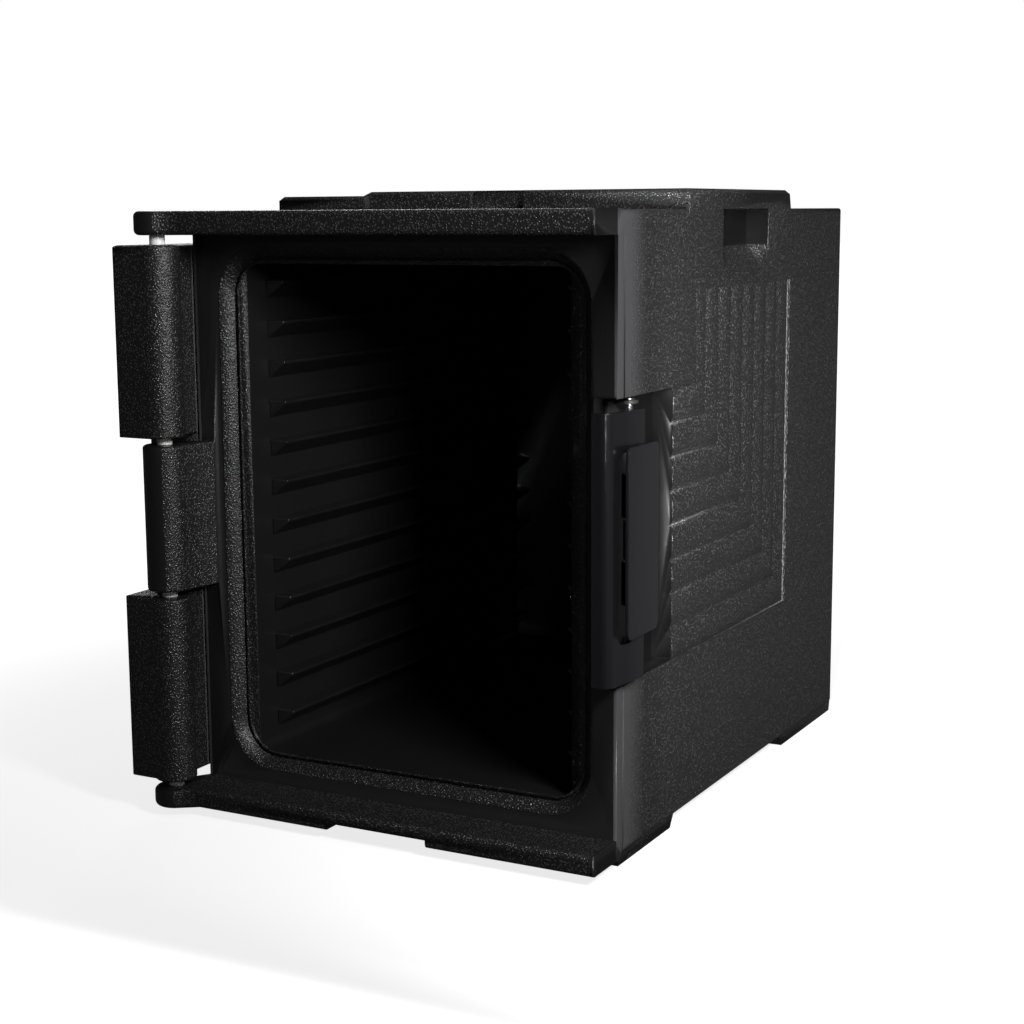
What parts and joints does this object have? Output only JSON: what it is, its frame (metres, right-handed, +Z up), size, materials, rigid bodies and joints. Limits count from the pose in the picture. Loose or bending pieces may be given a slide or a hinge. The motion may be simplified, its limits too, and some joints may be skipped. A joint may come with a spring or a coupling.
{
  "type": "insulated food carrier",
  "caption": "Black front-loading insulated food carrier with pan rails, a side-hinged door swung fully open and a sprung side latch",
  "frame": {"origin": "middle of the whole object's footprint, with the door open, on the surface that it stands on", "axes": "+Z up; +Y from the mouth to the rear wall; +X to the right as one faces the mouth"},
  "size_m": [0.5214, 0.665, 0.5945],
  "materials": {
    "black_textured_shell": "pebbled, rotomoulded",
    "black_liner": "smooth satin",
    "latch_nylon": "satin, injection moulded",
    "white_nylon": "smooth",
    "foam_core": "rigid foam",
    "black_rubber": "matte",
    "bright_steel": "bright",
    "dull_steel": "zinc plated",
    "black_steel": "black, coated"
  },
  "bodies": {
    "case": {"case_shell": "black_textured_shell", "left_pan_rails": "black_liner", "right_pan_rails": "black_liner", "case_foam": "foam_core", "case_fill_plugs": "black_liner", "case_bushes": "white_nylon", "hinge_pin": "bright_steel", "hinge_spacers": "white_nylon", "pin_retainer": "black_liner", "latch_pin": "bright_steel", "latch_clip": "bright_steel", "latch_spring": "bright_steel", "latch_bracket": "black_steel", "bracket_screws": "black_steel"},
    "door": {"door_shell": "black_textured_shell", "door_foam": "foam_core", "door_fill_plugs": "black_liner", "door_bushes": "white_nylon", "door_gasket": "black_rubber", "vent_body": "latch_nylon", "vent_seal": "black_rubber", "vent_nut": "latch_nylon", "striker": "dull_steel", "striker_screws": "bright_steel"},
    "latch": {"latch_plate": "latch_nylon", "latch_grip": "latch_nylon", "grip_screws": "bright_steel", "latch_bushes": "white_nylon"},
    "vent": {"vent_cap": "latch_nylon"}
  },
  "joints": [
    {"name": "door_hinge", "type": "hinge", "parent": "case", "child": "door", "pos_m": [-0.20475, -0.3115, 0.2905], "axis": [0, 0, 1], "range_deg": [0, 270]},
    {"name": "latch_pivot", "type": "hinge", "parent": "case", "child": "latch", "pos_m": [0.23625, -0.2255, 0.28975], "axis": [0, 0, 1], "range_deg": [0, 18], "stiffness_Nm_per_rad": 0.4},
    {"name": "vent_turn", "type": "hinge", "parent": "door", "child": "vent", "pos_m": [-0.20275, -0.0835, 0.455], "axis": [1, 0, 0], "range_deg": [0, 90]}
  ]
}
